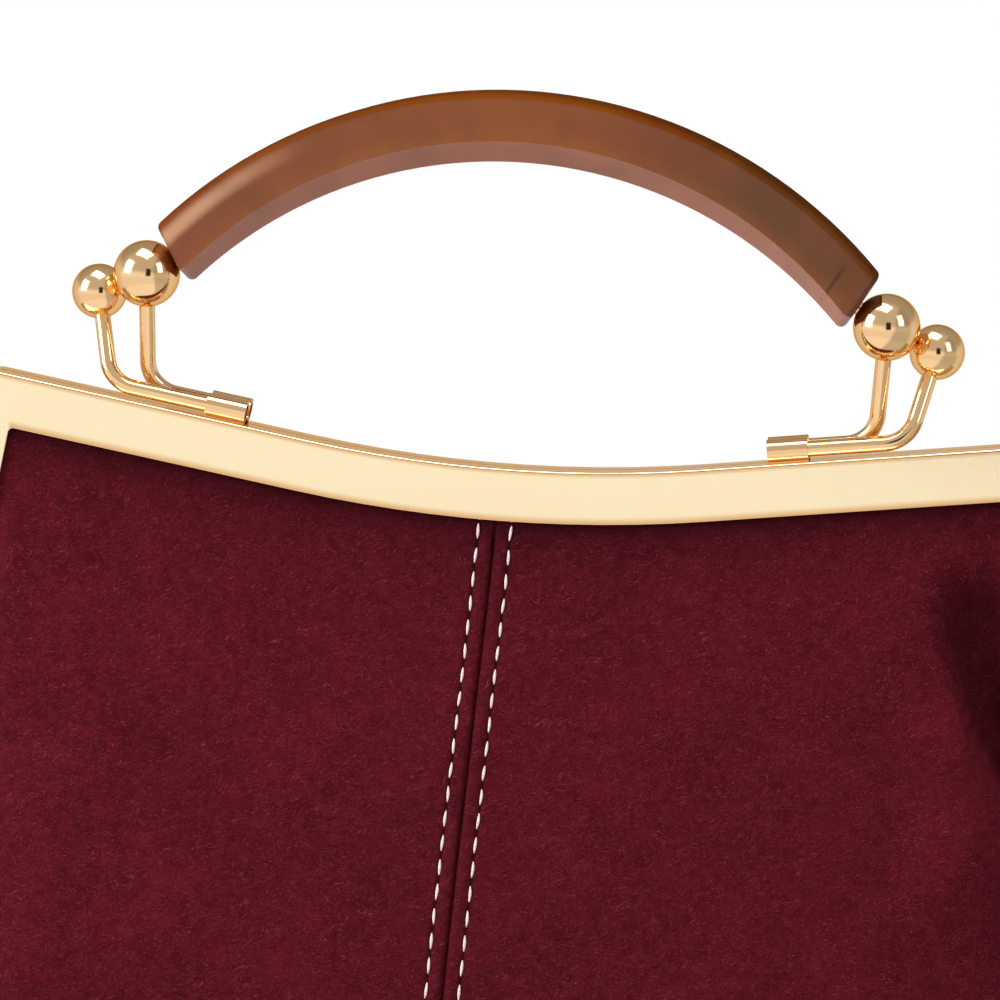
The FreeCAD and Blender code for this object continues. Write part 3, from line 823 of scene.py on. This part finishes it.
def stitchTree():
    tree = bpy.data.node_groups.new("stitchRow", "GeometryNodeTree")
    tree.interface.new_socket("Geometry", in_out="INPUT", socket_type="NodeSocketGeometry")
    for name in ("Pitch", "Length", "Thread", "Rise", "Sink", "Turn"):
        tree.interface.new_socket(name, in_out="INPUT", socket_type="NodeSocketFloat")
    tree.interface.new_socket("Seed", in_out="INPUT", socket_type="NodeSocketInt")
    tree.interface.new_socket("Geometry", in_out="OUTPUT", socket_type="NodeSocketGeometry")
    given = addNode(tree, "NodeGroupInput").outputs
    made = {}
    for name, source, factor in (("turnBack", "Turn", -1.0), ("half", "Length", 0.5),
                                 ("halfBack", "Length", -0.5), ("under", "Sink", -1.0),
                                 ("radius", "Thread", 0.5)):
        made[name] = addNode(tree, "ShaderNodeMath", {0: given[source], 1: factor}, operation="MULTIPLY")
    line = addNode(tree, "GeometryNodeMeshToCurve", {"Mesh": given["Geometry"]})
    points = addNode(tree, "GeometryNodeCurveToPoints", {
        "Curve": line, "Length": given["Pitch"]}, mode="LENGTH")
    outwardSide = addNode(tree, "GeometryNodeInputNamedAttribute", {
        "Name": "outward"}, data_type="FLOAT_VECTOR")
    stand = addNode(tree, "FunctionNodeAxesToRotation", {
        "Primary Axis": points.outputs["Tangent"], "Secondary Axis": outwardSide}, primary_axis="X",
        secondary_axis="Z")
    jitter = addNode(tree, "FunctionNodeRandomValue", {
        2: made["turnBack"], 3: given["Turn"], "Seed": given["Seed"]}, data_type="FLOAT")
    twist = addNode(tree, "ShaderNodeCombineXYZ", {"Z": jitter.outputs[1]})
    turned = addNode(tree, "FunctionNodeRotateRotation", {
        "Rotation": stand, "Rotate By": twist}, rotation_space="LOCAL")
    crown = addNode(tree, "ShaderNodeMath", {
        0: given["Rise"], 1: 2.0, 2: given["Sink"]}, operation="MULTIPLY_ADD")
    shape = {}
    for name, x, z in (("Start", made["halfBack"], made["under"]), ("Middle", 0.0, crown),
                       ("End", made["half"], made["under"])):
        shape[name] = addNode(tree, "ShaderNodeCombineXYZ", {"X": x, "Z": z})
    steps, sides = stitch["steps"]
    arch = addNode(tree, "GeometryNodeCurveQuadraticBezier", {**shape, "Resolution": steps})
    ring = addNode(tree, "GeometryNodeCurvePrimitiveCircle", {
        "Radius": made["radius"], "Resolution": sides})
    along = addNode(tree, "GeometryNodeSplineParameter")
    turnShare = addNode(tree, "ShaderNodeMath", {0: along, 1: math.pi}, operation="MULTIPLY")
    swellShare = addNode(tree, "ShaderNodeMath", {0: turnShare}, operation="SINE")
    spindle = addNode(tree, "ShaderNodeMath", {
        0: swellShare, 1: 1.0 - stitch["slimEnd"], 2: stitch["slimEnd"]}, operation="MULTIPLY_ADD")
    tube = addNode(tree, "GeometryNodeCurveToMesh", {
        "Curve": arch, "Profile Curve": ring, "Scale": spindle, "Fill Caps": True})
    smoothed = addNode(tree, "GeometryNodeSetShadeSmooth", {"Geometry": tube})
    placed = addNode(tree, "GeometryNodeInstanceOnPoints", {
        "Points": points, "Instance": smoothed, "Rotation": turned})
    real = addNode(tree, "GeometryNodeRealizeInstances", {"Geometry": placed})
    dressed = addNode(tree, "GeometryNodeSetMaterial", {"Geometry": real, "Material": thread})
    addNode(tree, "NodeGroupOutput", {"Geometry": dressed})
    return tree


def rowLines(grid, away):  # lines on the suede at one distance to each side of the seam
    lines = []
    middle = grid[:, bag["columns"]]
    clear = railBottom(middle[:, 0]) - middle[:, 2]
    sewn = np.flatnonzero((middle[:, 2] >= stitch["fromBase"]) & (clear >= stitch["fromTop"]))
    facing = gridNormals(grid) * outward * (1.0 if middle[0, 1] < 0 else -1.0)
    for side in (-1, 1):
        points, sides = [], []
        for r in sewn:
            c = np.searchsorted(-offset[r], -side * away)
            t = (offset[r, c - 1] - side * away) / (offset[r, c - 1] - offset[r, c])
            points.append(grid[r, c - 1] * (1 - t) + grid[r, c] * t)
            sides.append(facing[r, c])
        lines.append((np.array(points), np.array(sides)))
    return lines


def stitchPiece(name, grid, tree):
    vertices, edges, sides = [], [], []
    for points, facing in rowLines(grid, seam["row"]):
        first = len(vertices)
        vertices += (points * mm).tolist()
        sides += facing.tolist()
        edges += [(first + i, first + i + 1) for i in range(len(points) - 1)]
    mesh = bpy.data.meshes.new(name + "Line")
    mesh.from_pydata(vertices, edges, [])
    facingOut = mesh.attributes.new("outward", "FLOAT_VECTOR", "POINT")
    facingOut.data.foreach_set("vector", np.array(sides).ravel())
    carrier = bpy.data.objects.new(name + "Line", mesh)
    scene.collection.objects.link(carrier)
    rows = carrier.modifiers.new("stitchRow", "NODES")
    rows.node_group = tree
    wanted = {key.title(): stitch[key] * mm for key in ("pitch", "length", "thread", "rise", "sink")}
    wanted.update({"Turn": stitch["turn"], "Seed": stitch["seed"]})
    for socket in tree.interface.items_tree:
        if socket.in_out == "INPUT" and socket.name in wanted:
            rows[socket.identifier] = wanted[socket.name]
    depsgraph = bpy.context.evaluated_depsgraph_get()
    made = bpy.data.meshes.new_from_object(carrier.evaluated_get(depsgraph), depsgraph=depsgraph)
    bpy.data.objects.remove(carrier)
    made.name = name
    piece = bpy.data.objects.new(name, made)
    scene.collection.objects.link(piece)
    return piece


stitches = stitchTree()
frontStitches = stitchPiece("frontStitches", halves["front"], stitches)
followFold(frontStitches)
backStitches = stitchPiece("backStitches", halves["back"], stitches)
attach(backStitches, "rear_half")
print("stitches:", len(frontStitches.data.polygons), "faces in front")


# Stage, in metres: pale floor, white surround, three soft lights and a dark card
studio = {
    "floorSize": 12.0,
    "floor": "#F4F2F0",
    "surround": "#FFFFFF",
    "shadowReach": (0.25, 0.9),
    "shadowWhite": 0.5,     # share of plain white in the floor's shadow near the bag
    "roomTone": 0.58,       # of the room above the horizon, in polished metal
    "roomFrom": (0.0, 0.25),
    # where the white table gives way to the room: from none to full, by distance and by direction
    "tableEnds": (("away", 0.3, 0.38), ("away", 1.6, 1.1), ("Y", 0.3, -0.1)),
    "beyondTable": 0.9,
    "rightSide": (0.4, 0.62, 0.6),  # from and to this share of sideways, down to this tone
    "behind": (0.78, 0.4),  # near the horizon and high up
    "behindFrom": (-0.15, 0.25),
    "behindHigh": (0.1, 0.45),
    "fill": 0.24,
    "aim": (0.0, 0.0, 0.16),
    "lights": (
        # name, place, width and height, watts
        ("leftWindow", (-1.55, -0.75, 0.75), (0.8, 1.1), 25.0),
        ("rightWindow", (1.35, -0.95, 0.98), (0.55, 1.0), 5.5),
        ("topPanel", (-0.25, -0.35, 1.75), (1.2, 0.8), 12.0),
    ),
    # beside the camera, for balls and rods to mirror: place, width and height, colour
    "darkCard": ((0.24, -1.28, 0.4), (0.4, 0.6), "#14100E"),
}
# Camera, in millimetres again: a point on the bag, where it lands in the picture, and how it is looked at
view = {"target": (0.0, 0.0, 190.0), "targetPixel": (509.2, 401.4), "pixelsPerMm": 4.814,
        "distance": 1200.0, "azimuth": 5.0, "elevation": 5.2, "roll": 3.79, "picture": 1000.0,
        "sensor": 36.0, "farthest": 50000.0}


def mirrored(tree, x, y):  # how bright the room looks in polished metal, by the direction seen from the bag
    near, far, tone = studio["rightSide"]
    front = addNode(tree, "ShaderNodeMapRange", {0: x, 1: near, 2: far, 3: 1.0, 4: tone}, **smoothRamp)
    start, end = studio["behindFrom"]
    behind = addNode(tree, "ShaderNodeMapRange", {0: y, 1: start, 2: end}, **smoothRamp)
    return addNode(tree, "ShaderNodeMix", {0: behind, 2: front, 3: studio["behind"][0]})


def plane(name, size, material):
    w, h = size[0] / 2, size[1] / 2
    mesh = bpy.data.meshes.new(name)
    mesh.from_pydata([(-w, -h, 0), (w, -h, 0), (w, h, 0), (-w, h, 0)], [], [(0, 1, 2, 3)])
    mesh.materials.append(material)
    piece = bpy.data.objects.new(name, mesh)
    scene.collection.objects.link(piece)
    return piece


def makeStage():
    paper, tree, surface, place = newMaterial("paleFloor", {
        "Base Color": linear(studio["floor"]), "Roughness": 0.9})
    light = addNode(tree, "ShaderNodeLightPath").outputs
    where = place["Object"]
    away = addNode(tree, "ShaderNodeVectorMath", {0: where}, operation="LENGTH").outputs["Value"]
    way = addNode(tree, "ShaderNodeVectorMath", {0: where}, operation="NORMALIZE")
    part = addNode(tree, "ShaderNodeSeparateXYZ", {"Vector": way}).outputs
    near, far = studio["shadowReach"]
    fade = addNode(tree, "ShaderNodeMapRange", {
        0: away, 1: near, 2: far, 3: studio["shadowWhite"], 4: 1.0}, **smoothRamp)
    # the table ends in front of the bag, and the room beyond it is a little darker
    room = 1.0 - studio["beyondTable"]
    for source, start, end in studio["tableEnds"]:
        value = away if source == "away" else part[source]
        share = addNode(tree, "ShaderNodeMapRange", {0: value, 1: start, 2: end}, **smoothRamp)
        room = addNode(tree, "ShaderNodeMath", {0: share, 1: room}, operation="MULTIPLY")
    table = addNode(tree, "ShaderNodeMath", {0: 1.0, 1: room}, operation="SUBTRACT")
    gloss = addNode(tree, "ShaderNodeMath", {
        0: table, 1: mirrored(tree, part["X"], part["Y"])}, operation="MULTIPLY")
    strength = addNode(tree, "ShaderNodeMix", {0: light["Is Glossy Ray"], 2: 1.0, 3: gloss})
    shown = addNode(tree, "ShaderNodeMath", {0: light["Is Camera Ray"], 1: fade}, operation="MULTIPLY")
    for ray in ("Is Glossy Ray", "Is Transmission Ray"):
        shown = addNode(tree, "ShaderNodeMath", {0: shown, 1: light[ray]}, operation="MAXIMUM")
    white = addNode(tree, "ShaderNodeEmission", {"Color": linear(studio["surround"]), "Strength": strength})
    both = addNode(tree, "ShaderNodeMixShader", {0: shown, 1: surface, 2: white})
    fillInputs(tree, tree.nodes["Material Output"], {"Surface": both})
    plane("studioFloor", (studio["floorSize"], studio["floorSize"]), paper)
    at, size, tone = studio["darkCard"]
    felt, tree, surface, place = newMaterial("blackFelt", {"Base Color": linear(tone), "Roughness": 0.9})
    card = plane("darkCard", size, felt)
    card.location = at
    card.rotation_euler = (math.radians(90), 0, 0)
    for ray in ("camera", "diffuse", "shadow", "transmission", "volume_scatter"):
        setattr(card, "visible_" + ray, False)


def makeWorld():
    world = bpy.data.worlds.new("studioWorld")
    scene.world = world
    world.use_nodes = True
    tree = world.node_tree
    light = addNode(tree, "ShaderNodeLightPath").outputs
    place = addNode(tree, "ShaderNodeTexCoord").outputs
    way = addNode(tree, "ShaderNodeSeparateXYZ", {"Vector": place["Generated"]}).outputs
    made = {}
    for name, source, start, end, tones in (
            ("above", "Z", *studio["roomFrom"], (1.0, studio["roomTone"])),
            ("back", "Z", *studio["behindHigh"], studio["behind"]),
            ("behind", "Y", *studio["behindFrom"], (0.0, 1.0))):
        made[name] = addNode(tree, "ShaderNodeMapRange", {
            0: way[source], 1: start, 2: end, 3: tones[0], 4: tones[1]}, **smoothRamp)
    front = addNode(tree, "ShaderNodeMath", {
        0: made["above"], 1: mirrored(tree, way["X"], way["Y"])}, operation="MULTIPLY")
    gloss = addNode(tree, "ShaderNodeMix", {0: made["behind"], 2: front, 3: made["back"]})
    level = addNode(tree, "ShaderNodeMix", {0: light["Is Glossy Ray"], 2: studio["fill"], 3: gloss})
    shown = addNode(tree, "ShaderNodeMath", {
        0: light["Is Camera Ray"], 1: light["Is Transmission Ray"]}, operation="MAXIMUM")
    strength = addNode(tree, "ShaderNodeMix", {0: shown, 2: level, 3: 1.0})
    fillInputs(tree, tree.nodes["Background"], {"Color": linear(studio["surround"]), "Strength": strength})


def makeLights():
    aim = Vector(studio["aim"])
    for name, place, size, watts in studio["lights"]:
        lamp = bpy.data.lights.new(name, "AREA")
        lamp.shape = "RECTANGLE"
        lamp.size, lamp.size_y = size
        lamp.energy = watts
        stand = bpy.data.objects.new(name, lamp)
        stand.location = place
        stand.rotation_euler = (aim - Vector(place)).to_track_quat("-Z", "Y").to_euler()
        stand.visible_camera = False
        scene.collection.objects.link(stand)


def makeCamera():
    azimuth, elevation, roll = (math.radians(view[k]) for k in ("azimuth", "elevation", "roll"))
    level = math.cos(elevation)
    back = Vector((math.sin(azimuth) * level, -math.cos(azimuth) * level, math.sin(elevation)))
    right = Vector((math.cos(azimuth), math.sin(azimuth), 0))
    up = back.cross(right)
    target = Vector(view["target"])
    eye = target + back * view["distance"]
    # the point that lands in the middle of the picture
    dx, dy = (view["picture"] / 2 - p for p in view["targetPixel"])
    alongX = (dx * math.cos(roll) + dy * math.sin(roll)) / view["pixelsPerMm"]
    alongY = (dx * math.sin(roll) - dy * math.cos(roll)) / view["pixelsPerMm"]
    aim = target + right * alongX + up * alongY
    back = (eye - aim).normalized()
    right = Vector((0, 0, 1)).cross(back).normalized()
    up = back.cross(right)
    turnedRight = right * math.cos(roll) + up * math.sin(roll)
    turnedUp = up * math.cos(roll) - right * math.sin(roll)
    camera = bpy.data.cameras.new("photoCamera")
    camera.sensor_width = view["sensor"]
    camera.lens = view["pixelsPerMm"] * view["distance"] * view["sensor"] / view["picture"]
    camera.clip_end = view["farthest"] * mm
    stand = bpy.data.objects.new("photoCamera", camera)
    turn = Matrix((turnedRight, turnedUp, back)).transposed().to_4x4()
    stand.matrix_world = Matrix.Translation(eye * mm) @ turn
    scene.collection.objects.link(stand)
    scene.camera = stand


makeStage()
makeWorld()
makeLights()
makeCamera()
scene.view_settings.view_transform = "Standard"
print("stage, lights and camera")
